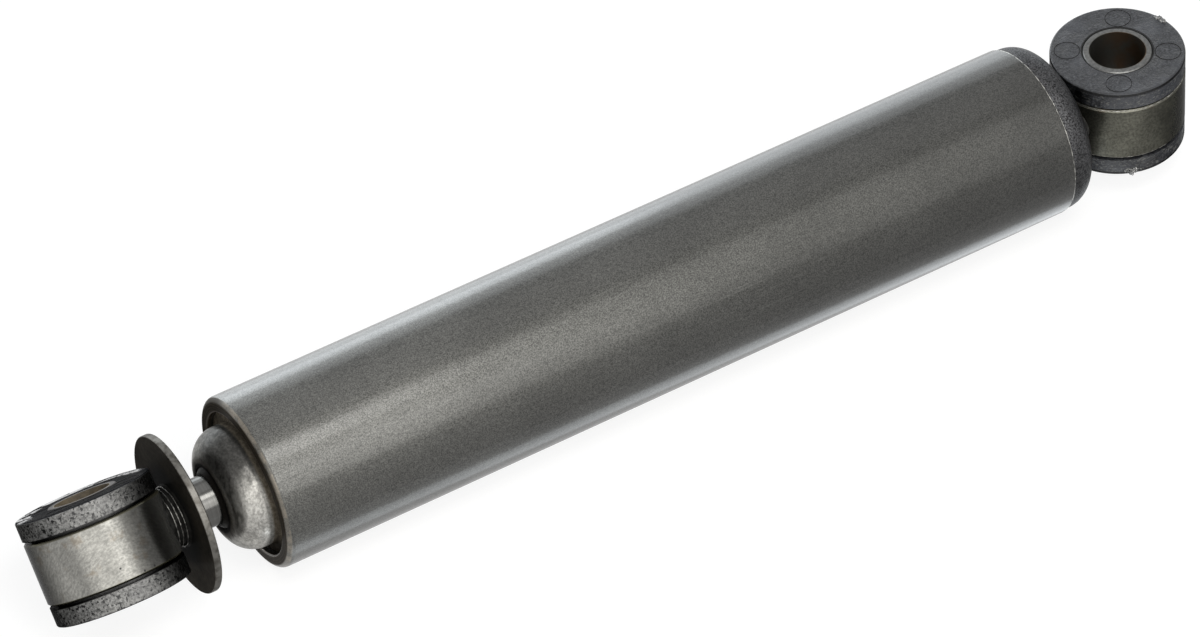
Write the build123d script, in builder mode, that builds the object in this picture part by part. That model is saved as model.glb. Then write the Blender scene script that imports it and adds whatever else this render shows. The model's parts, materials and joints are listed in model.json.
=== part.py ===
from build123d import *
from math import cos, radians, sin
import os

# A racing shock absorber: a sealed twin-tube damper with a rubber-bushed eye at each end.
# The origin is the centre of the base eye's bore. +X runs along the shock's axis to the rod eye,
# and +Z runs along the base eye's bore. The rod is drawn pushed right in.
# Every size is in millimetres or degrees. Along the axis, each station is worked out from the one
# before it, starting at the base eye.

# Fits between pieces that stay together, and between pieces that slide or turn
snug = 0.05
running = 0.045

# The two eyes, their rubber bushings and their steel sleeves
eye_radius = 19.05
eye_wall = 3.175
eye_width = 17.4
eye_chamfer = 0.5
rod_eye_turn = 39.5
bore_radius = 7.94
sleeve_wall = 1.9
sleeve_length = 29.8
sleeve_chamfer = 0.35
rim_inset = 0.05
rim_shoulder = 0.9
rim_lift = 0.8
rim_round = 0.6
rubber_inset = 0.1
rubber_parting = 0.2

# The welds between each eye and the piece it stands on
base_weld_gap = 2.85
rod_weld_gap = 2.15
weld_half_width = 9.85
weld_half_height = 8.2
weld_flare = 0.9

# The base cap
cap_step = 0.5
cap_length = 9.1
cap_round = 6.9
cap_floor_thickness = 3.2
cap_spigot_length = 5.0
cap_spigot_wall = 1.45
cap_cavity_round = 1.5

# The reserve tube and its rolled end
tube_radius = 24.7
tube_wall = 2.0
tube_edge_round = 0.3
lip_width = 4.1
lip_round = 1.9
lip_edge_round = 0.4
lip_bend_round = 0.8

# The pressure tube
pressure_wall = 1.55
reserve_passage = 1.9

# The base valve
foot_height = 4.9
foot_width = 6.0
foot_climb = 3.0
foot_chamfer = 2.0
foot_count = 4
valve_flange_thickness = 6.0
valve_flange_reach = 0.25
valve_spigot_height = 6.0
valve_rim_width = 1.7
valve_rim_height = 1.5
valve_boss_radius = 5.2
valve_recess_radius = 11.2
valve_recess_depth = 3.0
intake_port_radius = 1.5
intake_port_count = 8
bleed_port_radius = 1.25
bleed_port_count = 6
valve_bolt_radius = 3.0
valve_bolt_head_radius = 5.0
valve_bolt_head_height = 2.5
valve_nut_flats = 10.0
valve_nut_height = 4.0
bolt_stand_out = 0.5
intake_spring_height = 4.1
retainer_radius = 8.0
retainer_thickness = 1.0

# Valve plates, shims and star springs, at the base and on the piston
plate_thickness = 0.6
plate_band = 5.0
plate_play = 0.1
shim_thickness = 0.28
shim_gap = 0.02
shim_count = 4
base_shim_radius = 9.0
piston_shim_radius = 10.6
shim_step = 0.7
star_thickness = 0.3
star_rest_gap = 0.02
star_arms = 6
star_slot_width = 4.2
port_land = 0.5

# The rod and the piston
rod_radius = 7.144
rod_tail_radius = 5.0
rod_end_chamfer = 0.6
bottoming_gap = 0.5
tail_stand_out = 1.0
piston_nut_flats = 15.0
piston_nut_height = 7.0
backing_radius = 8.2
backing_thickness = 1.5
piston_length = 15.0
piston_play = 0.2
piston_rim_width = 1.3
piston_rim_height = 1.2
piston_boss_radius = 6.9
piston_boss_height = 2.0
piston_chamfer = 0.5
band_width = 8.0
band_depth = 1.5
band_split = 0.6
check_port_radius = 1.5
check_port_count = 6
rebound_port_radius = 1.3
rebound_port_count = 6
stop_plate_radius = 14.6
stop_plate_thickness = 2.0
stop_plate_window = 1.6

# The stop ring and the rubber bumper that end the outward stroke
stroke = 165.0
ring_setback = 0.5
stop_ring_radius = 13.0
stop_ring_thickness = 3.0
bumper_radius = 14.0
bumper_length = 8.0
bumper_round = 2.0
rebound_gap = 0.5

# The rod guide and its seals
guide_spigot_length = 4.0
guide_thickness = 11.5
guide_bushing_wall = 1.55
guide_bushing_inset = 1.0
guide_well_radius = 11.5
guide_well_depth = 2.5
drain_radius = 1.0
drain_count = 3
o_ring_radius = 1.55
support_washer_thickness = 1.5
support_washer_play = 0.4
seal_groove_inner = 9.4
seal_groove_outer = 12.0
seal_groove_depth = 4.0
garter_radius = 0.8
wiper_stand_out = 0.8
wiper_tip_wall = 0.45

# The dome end cap
dome_radius = 17.4
dome_wall = 2.5
dome_flange_thickness = 2.5
dome_rise = 9.5
dome_hole_radius = 8.9
dome_land = 0.5
dome_hole_round = 0.35
dome_root_round = 0.8

# The stop disc at the rod eye
rod_show = 9.2
disc_radius = 22.65
disc_thickness = 2.1
disc_edge_round = 0.35

# Radii that follow from the sizes above
eye_bore = eye_radius - eye_wall
sleeve_radius = bore_radius + sleeve_wall
tube_bore = tube_radius - tube_wall
cap_radius = tube_radius - cap_step
cap_spigot_radius = tube_bore - snug
cap_cavity_radius = cap_spigot_radius - cap_spigot_wall
valve_flange_radius = cap_cavity_radius - reserve_passage
pressure_radius = valve_flange_radius - valve_flange_reach
pressure_bore_radius = pressure_radius - pressure_wall
valve_spigot_radius = pressure_bore_radius - snug
valve_rim_radius = valve_spigot_radius - valve_rim_width
intake_circle = valve_rim_radius - plate_play - plate_band / 2
piston_radius = pressure_bore_radius - piston_play
piston_rim_radius = piston_radius - piston_rim_width
check_circle = piston_rim_radius - plate_play - plate_band / 2
band_radius = piston_radius - band_depth
guide_radius = tube_bore - snug
guide_step_radius = guide_radius - 2 * (o_ring_radius + snug)
guide_bushing_radius = rod_radius + running + guide_bushing_wall
dome_bore = dome_radius - dome_wall
dome_round = dome_radius - dome_hole_radius - dome_land
seal_radius = dome_bore - snug
seal_bore = rod_radius + running

# Stations along the axis at the base
cap_face = eye_radius + base_weld_gap
cap_floor = cap_face + cap_floor_thickness
seam = cap_face + cap_length
flange_bottom = cap_floor + foot_height
flange_top = flange_bottom + valve_flange_thickness
valve_top = flange_top + valve_spigot_height
intake_plate_top = valve_top + plate_thickness
valve_boss_top = intake_plate_top + intake_spring_height
retainer_bottom = valve_boss_top + star_thickness
retainer_top = retainer_bottom + retainer_thickness
valve_nut_top = retainer_top + valve_nut_height
bolt_end = valve_nut_top + bolt_stand_out
recess_floor = flange_bottom + valve_recess_depth
shim_stack = shim_count * (shim_thickness + shim_gap)
bolt_head_top = recess_floor - shim_stack

# Stations along the axis on the rod, pushed right in
rod_end = bolt_end + bottoming_gap
piston_nut_bottom = rod_end + tail_stand_out
backing_bottom = piston_nut_bottom + piston_nut_height
shims_bottom = backing_bottom + backing_thickness
piston_bottom = shims_bottom + shim_stack
piston_top = piston_bottom + piston_length
piston_boss_top = piston_top + piston_boss_height
stop_plate_bottom = piston_boss_top + star_thickness
rod_shoulder = stop_plate_bottom + stop_plate_thickness
stop_ring_bottom = rod_shoulder + ring_setback
bumper_bottom = stop_ring_bottom + stop_ring_thickness
bumper_top = bumper_bottom + bumper_length

# Stations along the axis at the guide, the dome and the rod eye
guide_bottom = bumper_top + stroke + rebound_gap
guide_shoulder = guide_bottom + guide_spigot_length
guide_top = guide_shoulder + guide_thickness
lip_bottom = guide_top + dome_flange_thickness
tube_end = lip_bottom + tube_wall
dome_tip = tube_end + dome_rise
dome_ceiling = dome_tip - dome_wall
disc_near = dome_tip + rod_show
disc_far = disc_near + disc_thickness
eye_spacing = disc_far + rod_weld_gap + eye_radius

# Each eye's plane: its Z is the bore's axis, and its X points from the eye to the shock's middle
base_eye = Plane(origin=(0, 0, 0), x_dir=(1, 0, 0), z_dir=(0, 0, 1))
bore_direction = (0, -sin(radians(rod_eye_turn)), cos(radians(rod_eye_turn)))
rod_eye = Plane(origin=(eye_spacing, 0, 0), x_dir=(-1, 0, 0), z_dir=bore_direction)


def turn(corners, rounds=(), section=Plane.XY, axis=Axis.X, mode=Mode.ADD):
    """Adds what a closed outline of (along, radius) corners sweeps about the axis."""
    with BuildSketch(section) as outline:
        with BuildLine():
            Polyline(*corners, close=True)
        make_face()
        for corner, radius in rounds:
            fillet(outline.vertices().sort_by_distance(corner)[0], radius)
    revolve(outline.sketch, axis=axis, mode=mode)


def washer(start, thickness, bore, radius):
    """Adds a flat ring about the shock's axis."""
    end = start + thickness
    turn([(start, bore), (end, bore), (end, radius), (start, radius)])


def drill(start, depth, circle, radius, count, first_angle=0.0):
    """Cuts a circle of holes that run along the shock's axis."""
    with BuildSketch(Plane.YZ.offset(start)) as holes:
        with PolarLocations(circle, count, start_angle=first_angle):
            Circle(radius)
    extrude(holes.sketch, amount=depth, mode=Mode.SUBTRACT)


def hexagon_nut(start, height, flats, bore, label):
    """A plain hexagon nut about the shock's axis."""
    with BuildPart() as nut:
        with BuildSketch(Plane.YZ.offset(start)):
            RegularPolygon(flats / 2, 6, major_radius=False)
            Circle(bore, mode=Mode.SUBTRACT)
        extrude(amount=height)
    nut.part.label = label
    return nut.part


def shim_pile(start, first_radius, bore, towards, label):
    """Thin discs on one another, each smaller than the one before, from a port face outwards."""
    pitch = shim_thickness + shim_gap
    with BuildPart() as pile:
        for index in range(shim_count):
            near = start + towards * (index * pitch + shim_gap)
            low = min(near, near + towards * shim_thickness)
            washer(low, shim_thickness, bore, first_radius - index * shim_step)
    pile.part.label = label
    return pile.part


def valve_plate(start, radius, label):
    """A flat ring that lies over a circle of ports and lifts off them."""
    with BuildPart() as plate:
        washer(start, plate_thickness, radius - plate_band, radius)
    plate.part.label = label
    return plate.part


def star_spring(tip, hub, bore, hub_radius, tip_radius, label):
    """A dished spring of arms that run from its clamped hub down to a valve plate."""
    with BuildPart() as spring:
        turn([
            (hub, bore),
            (hub + star_thickness, bore),
            (hub + star_thickness, hub_radius),
            (tip + star_thickness, tip_radius),
            (tip, tip_radius),
            (hub, hub_radius),
        ])
        slot_length = tip_radius - hub_radius
        with BuildSketch(Plane.YZ.offset(tip - star_thickness)) as slots:
            with PolarLocations(tip_radius, star_arms):
                Rectangle(2 * (slot_length - port_land), star_slot_width)
        extrude(slots.sketch, amount=hub - tip + 3 * star_thickness, mode=Mode.SUBTRACT)
    spring.part.label = label
    return spring.part


def section_of(place):
    """The plane of an eye's half section: radius along its X, distance along the bore on its Y."""
    return Plane(origin=place.origin, x_dir=place.x_dir, z_dir=-place.y_dir)


def eye_ring(place, label):
    """The steel ring of an eye."""
    with BuildPart() as ring:
        with BuildSketch(place.offset(-eye_width / 2)):
            Circle(eye_radius)
            Circle(eye_bore, mode=Mode.SUBTRACT)
        extrude(amount=eye_width)
        chamfer(ring.edges().filter_by(GeomType.CIRCLE), eye_chamfer)
    ring.part.label = label
    return ring.part


def eye_sleeve(place, label):
    """The steel sleeve in an eye's bushing, which a mounting bolt passes through."""
    with BuildPart() as sleeve:
        with BuildSketch(place.offset(-sleeve_length / 2)):
            Circle(sleeve_radius)
            Circle(bore_radius, mode=Mode.SUBTRACT)
        extrude(amount=sleeve_length)
        ends = sleeve.edges().filter_by(GeomType.CIRCLE)
        chamfer(ends.group_by(SortBy.RADIUS)[-1], sleeve_chamfer)
    sleeve.part.label = label
    return sleeve.part


def eye_bushing(place, side, label):
    """One half of an eye's rubber bushing, on the side of the bore that the sign names."""
    bore = sleeve_radius + running
    waist = eye_bore - snug
    shoulder = eye_bore + rim_shoulder
    rim = eye_radius - rim_inset
    middle = side * rubber_parting / 2
    ring_face = side * eye_width / 2
    rim_bottom = side * (eye_width / 2 + rim_lift)
    face = side * (sleeve_length / 2 - rubber_inset)
    outline = [
        (bore, middle),
        (waist, middle),
        (waist, ring_face),
        (shoulder, ring_face),
        (shoulder, rim_bottom),
        (rim, rim_bottom),
        (rim, face),
        (bore, face),
    ]
    with BuildPart() as bushing:
        turn(
            outline,
            rounds=[((rim, face), rim_round)],
            section=section_of(place),
            axis=Axis(place.origin, place.z_dir),
        )
    bushing.part.label = label
    return bushing.part


def eye_weld(place, reach, label):
    """The weld between an eye and a flat face that stands this far from the eye's centre."""
    foot_plane = Plane(
        origin=place.origin + place.x_dir * reach, x_dir=place.y_dir, z_dir=place.x_dir
    )
    with BuildPart() as weld:
        with BuildSketch(foot_plane) as foot:
            Ellipse(weld_half_width + weld_flare, weld_half_height + weld_flare)
        with BuildSketch(foot_plane.offset(-weld_flare)) as waist:
            Ellipse(weld_half_width, weld_half_height)
        loft([foot.sketch, waist.sketch])
        extrude(waist.sketch, amount=weld_flare - reach)
        with BuildSketch(place.offset(-eye_width)) as eye_outline:
            Circle(eye_radius)
        extrude(eye_outline.sketch, amount=2 * eye_width, mode=Mode.SUBTRACT)
    weld.part.label = label
    return weld.part


def make_base_cap():
    """The forged cap that closes the reserve tube at the base eye."""
    spigot_end = seam + cap_spigot_length
    with BuildPart() as base_cap:
        turn(
            [
                (cap_face, 0),
                (cap_face, cap_radius),
                (seam, cap_radius),
                (seam, cap_spigot_radius),
                (spigot_end, cap_spigot_radius),
                (spigot_end, cap_cavity_radius),
                (cap_floor, cap_cavity_radius),
                (cap_floor, 0),
            ],
            rounds=[
                ((cap_face, cap_radius), cap_round),
                ((cap_floor, cap_cavity_radius), cap_cavity_round),
            ],
        )
    base_cap.part.label = "base_cap"
    return base_cap.part


def make_reserve_tube():
    """The outer tube, with its end rolled in over the dome's flange."""
    lip_radius = tube_radius - lip_width
    with BuildPart() as reserve_tube:
        turn(
            [
                (seam, tube_bore),
                (seam, tube_radius),
                (tube_end, tube_radius),
                (tube_end, lip_radius),
                (lip_bottom, lip_radius),
                (lip_bottom, tube_bore),
            ],
            rounds=[
                ((seam, tube_radius), tube_edge_round),
                ((tube_end, tube_radius), lip_round),
                ((tube_end, lip_radius), lip_edge_round),
                ((lip_bottom, tube_bore), lip_bend_round),
            ],
        )
    reserve_tube.part.label = "reserve_tube"
    return reserve_tube.part


def make_pressure_tube():
    """The inner tube, which the piston runs in, between the base valve and the rod guide."""
    with BuildPart() as pressure_tube:
        washer(flange_top, guide_shoulder - flange_top, pressure_bore_radius, pressure_radius)
    pressure_tube.part.label = "pressure_tube"
    return pressure_tube.part


def make_base_valve_body():
    """The valve body that stands on the cap's floor and closes the pressure tube."""
    bleed_circle = valve_boss_radius + port_land + bleed_port_radius
    foot_outer = cap_cavity_radius - snug
    foot_inner = intake_circle + intake_port_radius + port_land
    foot_top = flange_bottom + foot_climb
    with BuildPart() as base_valve_body:
        bolt_hole = valve_bolt_radius + snug
        turn([
            (flange_bottom, valve_recess_radius),
            (flange_bottom, valve_flange_radius),
            (flange_top, valve_flange_radius),
            (flange_top, valve_spigot_radius),
            (valve_top + valve_rim_height, valve_spigot_radius),
            (valve_top + valve_rim_height, valve_rim_radius),
            (valve_top, valve_rim_radius),
            (valve_top, valve_boss_radius),
            (valve_boss_top, valve_boss_radius),
            (valve_boss_top, bolt_hole),
            (recess_floor, bolt_hole),
            (recess_floor, valve_recess_radius),
        ])
        with BuildSketch(Plane.YZ.offset(cap_floor)) as feet:
            with PolarLocations((foot_inner + foot_outer) / 2, foot_count):
                Rectangle(foot_outer - foot_inner, foot_width)
        extrude(feet.sketch, amount=foot_top - cap_floor)
        turn(
            [
                (cap_floor, foot_outer - foot_chamfer),
                (cap_floor, tube_radius),
                (cap_floor + foot_chamfer, tube_radius),
                (cap_floor + foot_chamfer, foot_outer),
            ],
            mode=Mode.SUBTRACT,
        )
        turn(
            [
                (cap_floor, foot_outer),
                (cap_floor, tube_radius),
                (foot_top, tube_radius),
                (foot_top, foot_outer),
            ],
            mode=Mode.SUBTRACT,
        )
        height = valve_boss_top - flange_bottom
        half_pitch = 180 / intake_port_count
        drill(flange_bottom, height, intake_circle, intake_port_radius, intake_port_count, half_pitch)
        drill(flange_bottom, height, bleed_circle, bleed_port_radius, bleed_port_count)
    base_valve_body.part.label = "base_valve_body"
    return base_valve_body.part


def make_base_valve_bolt():
    """The bolt that clamps the base valve's shims and spring to its body."""
    head_bottom = bolt_head_top - valve_bolt_head_height
    with BuildPart() as base_valve_bolt:
        turn([
            (head_bottom, 0),
            (head_bottom, valve_bolt_head_radius),
            (bolt_head_top, valve_bolt_head_radius),
            (bolt_head_top, valve_bolt_radius),
            (bolt_end, valve_bolt_radius),
            (bolt_end, 0),
        ])
    base_valve_bolt.part.label = "base_valve_bolt"
    return base_valve_bolt.part


def make_intake_spring_retainer():
    """The washer between the intake spring's hub and the valve nut."""
    with BuildPart() as retainer:
        washer(retainer_bottom, retainer_thickness, valve_bolt_radius + snug, retainer_radius)
    retainer.part.label = "intake_spring_retainer"
    return retainer.part


def make_piston_rod():
    """The hard-chromed rod, with a thinner tail for the piston and a spigot in the stop disc."""
    with BuildPart() as piston_rod:
        turn([
            (rod_end, 0),
            (rod_end, rod_tail_radius - rod_end_chamfer),
            (rod_end + rod_end_chamfer, rod_tail_radius),
            (rod_shoulder, rod_tail_radius),
            (rod_shoulder, rod_radius),
            (disc_near, rod_radius),
            (disc_near, rod_tail_radius),
            (disc_far, rod_tail_radius),
            (disc_far, 0),
        ])
    piston_rod.part.label = "piston_rod"
    return piston_rod.part


def make_stop_disc():
    """The round plate at the rod eye that shields the seal and meets a bump stop."""
    hole = rod_tail_radius + snug
    with BuildPart() as stop_disc:
        turn(
            [(disc_near, hole), (disc_near, disc_radius), (disc_far, disc_radius), (disc_far, hole)],
            rounds=[
                ((disc_near, disc_radius), disc_edge_round),
                ((disc_far, disc_radius), disc_edge_round),
            ],
        )
    stop_disc.part.label = "stop_disc"
    return stop_disc.part


def make_piston():
    """The piston, with a groove for its band and two circles of ports."""
    hole = rod_tail_radius + snug
    groove_low = (piston_bottom + piston_top - band_width) / 2
    groove_high = groove_low + band_width
    rim_top = piston_top + piston_rim_height
    rebound_circle = piston_boss_radius + port_land + rebound_port_radius
    with BuildPart() as piston:
        turn([
            (piston_bottom, hole),
            (piston_bottom, piston_radius - piston_chamfer),
            (piston_bottom + piston_chamfer, piston_radius),
            (groove_low, piston_radius),
            (groove_low, band_radius),
            (groove_high, band_radius),
            (groove_high, piston_radius),
            (rim_top, piston_radius),
            (rim_top, piston_rim_radius),
            (piston_top, piston_rim_radius),
            (piston_top, piston_boss_radius),
            (piston_boss_top, piston_boss_radius),
            (piston_boss_top, hole),
        ])
        drill(
            piston_bottom,
            piston_length,
            check_circle,
            check_port_radius,
            check_port_count,
            first_angle=180 / check_port_count,
        )
        drill(piston_bottom, piston_length, rebound_circle, rebound_port_radius, rebound_port_count)
    piston.part.label = "piston"
    return piston.part


def make_piston_band():
    """The split band in the piston's groove, which slides in the pressure tube."""
    middle = (piston_bottom + piston_top) / 2
    width = band_width - 2 * running
    bore = band_radius + running
    radius = pressure_bore_radius - running
    with BuildPart() as piston_band:
        washer(middle - width / 2, width, bore, radius)
        with BuildSketch(Plane.YZ.offset(middle - width / 2)):
            with Locations((0, (bore + radius) / 2)):
                Rectangle(band_split, 2 * (radius - bore))
        extrude(amount=width, mode=Mode.SUBTRACT)
    piston_band.part.label = "piston_band"
    return piston_band.part


def make_backing_washer():
    """The washer between the piston nut and the rebound shims."""
    with BuildPart() as backing:
        washer(backing_bottom, backing_thickness, rod_tail_radius + snug, backing_radius)
    backing.part.label = "rebound_backing_washer"
    return backing.part


def make_check_stop_plate():
    """The plate clamped under the rod's shoulder, which limits the check plate's lift."""
    window_circle = (piston_boss_radius + stop_plate_radius) / 2
    with BuildPart() as stop_plate:
        washer(
            stop_plate_bottom, stop_plate_thickness, rod_tail_radius + snug, stop_plate_radius
        )
        drill(stop_plate_bottom, stop_plate_thickness, window_circle, stop_plate_window, star_arms)
    stop_plate.part.label = "check_stop_plate"
    return stop_plate.part


def make_rebound_stop_ring():
    """The steel ring on the rod that carries the bumper."""
    with BuildPart() as stop_ring:
        washer(stop_ring_bottom, stop_ring_thickness, rod_radius, stop_ring_radius)
    stop_ring.part.label = "rebound_stop_ring"
    return stop_ring.part


def make_rebound_bumper():
    """The rubber ring that meets the rod guide at the end of the outward stroke."""
    with BuildPart() as bumper:
        turn(
            [
                (bumper_bottom, rod_radius + snug),
                (bumper_bottom, bumper_radius),
                (bumper_top, bumper_radius),
                (bumper_top, rod_radius + snug),
            ],
            rounds=[((bumper_top, bumper_radius), bumper_round)],
        )
    bumper.part.label = "rebound_bumper"
    return bumper.part


def make_rod_guide():
    """The guide that centres the rod, closes the pressure tube and drains back what passes the rod."""
    bushing_hole = guide_bushing_radius + snug
    step_bottom = guide_top - 2 * (o_ring_radius + snug)
    well_floor = guide_top - guide_well_depth
    drain_out = (pressure_radius + tube_bore) / 2
    drain_in = guide_well_radius - 2 * drain_radius
    with BuildPart() as rod_guide:
        turn([
            (guide_bottom, bushing_hole),
            (guide_bottom, pressure_bore_radius - snug),
            (guide_shoulder, pressure_bore_radius - snug),
            (guide_shoulder, guide_radius),
            (step_bottom, guide_radius),
            (step_bottom, guide_step_radius),
            (guide_top, guide_step_radius),
            (guide_top, guide_well_radius),
            (well_floor, guide_well_radius),
            (well_floor, bushing_hole),
        ])
        for index in range(drain_count):
            turned = Plane.XY.rotated((index * 360 / drain_count, 0, 0))
            low = turned.from_local_coords((guide_shoulder, drain_out, 0))
            high = turned.from_local_coords((well_floor, drain_in, 0))
            way = (high - low).normalized()
            with BuildSketch(Plane(origin=low - way * drain_radius, z_dir=way)) as mouth:
                Circle(drain_radius)
            length = (high - low).length + 3 * drain_radius
            extrude(mouth.sketch, amount=length, mode=Mode.SUBTRACT)
    rod_guide.part.label = "rod_guide"
    return rod_guide.part


def make_guide_bushing():
    """The plain bearing that the rod slides and turns in."""
    start = guide_bottom + guide_bushing_inset
    length = guide_top - guide_well_depth - start
    with BuildPart() as guide_bushing:
        washer(start, length, rod_radius + running, guide_bushing_radius)
    guide_bushing.part.label = "rod_guide_bushing"
    return guide_bushing.part


def make_guide_seal_ring():
    """The rubber ring in the guide's corner, squeezed between guide, tube and dome."""
    with BuildPart() as seal_ring:
        with BuildSketch(Plane.XY):
            with Locations((guide_top - o_ring_radius - snug, guide_radius - o_ring_radius)):
                Circle(o_ring_radius)
        revolve(axis=Axis.X)
    seal_ring.part.label = "guide_seal_ring"
    return seal_ring.part


def make_seal_support_washer():
    """The steel washer that the rod seal stands on."""
    with BuildPart() as support:
        washer(guide_top, support_washer_thickness, rod_radius + support_washer_play, seal_radius)
    support.part.label = "seal_support_washer"
    return support.part


def make_rod_seal():
    """The rubber seal in the dome, with a wiper lip that stands out of the dome's hole."""
    base = guide_top + support_washer_thickness
    groove_end = base + seal_groove_depth
    shoulder = dome_tip - dome_round
    ceiling = dome_ceiling - snug
    neck = dome_hole_radius - snug
    with BuildPart() as rod_seal:
        turn([
            (base, seal_bore),
            (base, seal_groove_inner),
            (groove_end, seal_groove_inner),
            (groove_end, seal_groove_outer),
            (base, seal_groove_outer),
            (base, seal_radius),
            (shoulder - snug, seal_radius),
            (ceiling, neck),
            (dome_tip - dome_hole_round, neck),
            (dome_tip + wiper_stand_out, seal_bore + wiper_tip_wall),
            (dome_tip + wiper_stand_out, seal_bore),
        ])
    rod_seal.part.label = "rod_seal"
    return rod_seal.part


def make_garter_spring():
    """The ring spring that holds the seal's lip to the rod."""
    base = guide_top + support_washer_thickness
    with BuildPart() as garter:
        with BuildSketch(Plane.XY):
            with Locations((base + 2 * garter_radius, seal_groove_inner + snug + garter_radius)):
                Circle(garter_radius)
        revolve(axis=Axis.X)
    garter.part.label = "garter_spring"
    return garter.part


def make_dome_end_cap():
    """The pressed steel dome over the rod seal, held by the tube's rolled end."""
    flange_radius = tube_bore - snug
    with BuildPart() as dome:
        turn(
            [
                (guide_top, dome_bore),
                (guide_top, flange_radius),
                (lip_bottom, flange_radius),
                (lip_bottom, dome_radius),
                (dome_tip, dome_radius),
                (dome_tip, dome_hole_radius),
                (dome_ceiling, dome_hole_radius),
                (dome_ceiling, dome_bore),
            ],
            rounds=[
                ((lip_bottom, flange_radius), lip_bend_round + snug),
                ((lip_bottom, dome_radius), dome_root_round),
                ((dome_tip, dome_radius), dome_round),
                ((dome_tip, dome_hole_radius), dome_hole_round),
                ((dome_ceiling, dome_bore), dome_round - dome_wall),
            ],
        )
    dome.part.label = "dome_end_cap"
    return dome.part


# The pieces, each made by its own function
intake_tip = intake_plate_top + star_rest_gap
check_tip = piston_top + plate_thickness + star_rest_gap
bolt_clear = valve_bolt_radius + snug
tail_clear = rod_tail_radius + snug

pieces = [
    eye_ring(base_eye, "base_eye_ring"),
    eye_sleeve(base_eye, "base_eye_sleeve"),
    eye_bushing(base_eye, 1, "base_eye_bushing_upper"),
    eye_bushing(base_eye, -1, "base_eye_bushing_lower"),
    eye_weld(base_eye, cap_face, "base_eye_weld"),
    make_base_cap(),
    make_reserve_tube(),
    make_pressure_tube(),
    make_base_valve_body(),
    shim_pile(recess_floor, base_shim_radius, bolt_clear, -1, "compression_shims"),
    make_base_valve_bolt(),
    valve_plate(valve_top, valve_rim_radius - plate_play, "intake_plate"),
    star_spring(
        intake_tip,
        valve_boss_top,
        bolt_clear,
        valve_boss_radius,
        intake_circle,
        "intake_spring",
    ),
    make_intake_spring_retainer(),
    hexagon_nut(retainer_top, valve_nut_height, valve_nut_flats, bolt_clear, "base_valve_nut"),
    make_piston_rod(),
    hexagon_nut(piston_nut_bottom, piston_nut_height, piston_nut_flats, tail_clear, "piston_nut"),
    make_backing_washer(),
    shim_pile(piston_bottom, piston_shim_radius, tail_clear, -1, "rebound_shims"),
    make_piston(),
    make_piston_band(),
    valve_plate(piston_top, piston_rim_radius - plate_play, "check_plate"),
    star_spring(
        check_tip,
        piston_boss_top,
        tail_clear,
        piston_boss_radius,
        check_circle,
        "check_spring",
    ),
    make_check_stop_plate(),
    make_rebound_stop_ring(),
    make_rebound_bumper(),
    make_rod_guide(),
    make_guide_bushing(),
    make_guide_seal_ring(),
    make_seal_support_washer(),
    make_rod_seal(),
    make_garter_spring(),
    make_dome_end_cap(),
    make_stop_disc(),
    eye_weld(rod_eye, eye_spacing - disc_far, "rod_eye_weld"),
    eye_ring(rod_eye, "rod_eye_ring"),
    eye_sleeve(rod_eye, "rod_eye_sleeve"),
    eye_bushing(rod_eye, 1, "rod_eye_bushing_upper"),
    eye_bushing(rod_eye, -1, "rod_eye_bushing_lower"),
]

os.makedirs("parts", exist_ok=True)
for piece in pieces:
    export_step(piece, f"parts/{piece.label}.step")
print(f"eye to eye {eye_spacing:.2f} mm pushed in, {eye_spacing + stroke:.2f} mm pulled out")
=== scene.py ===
"""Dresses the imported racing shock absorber: finishes, small details, floor, lamps and camera."""
import json
import math
import random

import bmesh
import bpy
from mathutils import Matrix, Quaternion, Vector, noise


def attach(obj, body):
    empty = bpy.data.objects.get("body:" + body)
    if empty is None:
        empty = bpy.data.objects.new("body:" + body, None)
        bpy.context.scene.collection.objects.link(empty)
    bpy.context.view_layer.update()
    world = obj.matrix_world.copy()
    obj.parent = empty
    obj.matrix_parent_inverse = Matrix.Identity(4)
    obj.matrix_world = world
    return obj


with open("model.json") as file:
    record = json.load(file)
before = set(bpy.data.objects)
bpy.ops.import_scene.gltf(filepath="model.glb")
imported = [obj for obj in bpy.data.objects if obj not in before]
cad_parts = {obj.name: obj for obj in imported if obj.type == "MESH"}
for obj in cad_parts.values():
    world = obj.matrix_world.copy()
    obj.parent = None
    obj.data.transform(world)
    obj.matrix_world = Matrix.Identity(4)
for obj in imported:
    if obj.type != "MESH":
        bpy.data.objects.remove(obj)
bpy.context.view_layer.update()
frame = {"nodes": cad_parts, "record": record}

# Sizes of the part that the details follow, in metres as everything else here
mm = 0.001
tube_radius = 24.7 * mm
tube_start = 31.0 * mm
tube_end = 280.0 * mm
lip_radius = 20.6 * mm
lip_round = 1.9 * mm
dome_tip = 289.5 * mm
disc_near = 298.7 * mm
disc_far = 300.8 * mm
disc_radius = 22.65 * mm
eye_spacing = 322.0 * mm
eye_radius = 19.05 * mm
ring_half = 8.7 * mm
bore_radius = 7.94 * mm
sleeve_radius = 9.84 * mm
rubber_face = 14.8 * mm
rim_radius = 19.0 * mm
weld_half_width = 9.85 * mm
weld_half_height = 8.2 * mm
base_weld_end = 21.9 * mm
seam_radius = 24.48 * mm
mark_radius = 3.6 * mm
mark_reach = 14.1 * mm
rod_eye_turn = math.radians(39.5)

base_centre = Vector((0.0, 0.0, 0.0))
base_bore = Vector((0.0, 0.0, 1.0))
rod_centre = Vector((eye_spacing, 0.0, 0.0))
rod_bore = Vector((0.0, -math.sin(rod_eye_turn), math.cos(rod_eye_turn)))
shock_axis = Vector((1.0, 0.0, 0.0))
rearward = Vector((0.0, -1.0, 0.0))

# Two directions of the photo's view: to the right past the eyes, and up across the tube
view_right = Vector((-0.885, 0.465, 0.0))
view_upper = Vector((0.0, -0.722, 0.692))


# Finishes

# Sockets of Blender's Mix node, which share their names: its two colours and their result, its two numbers
mix_colours = (6, 7)
mix_colour_out = 2
mix_numbers = (2, 3)


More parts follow.
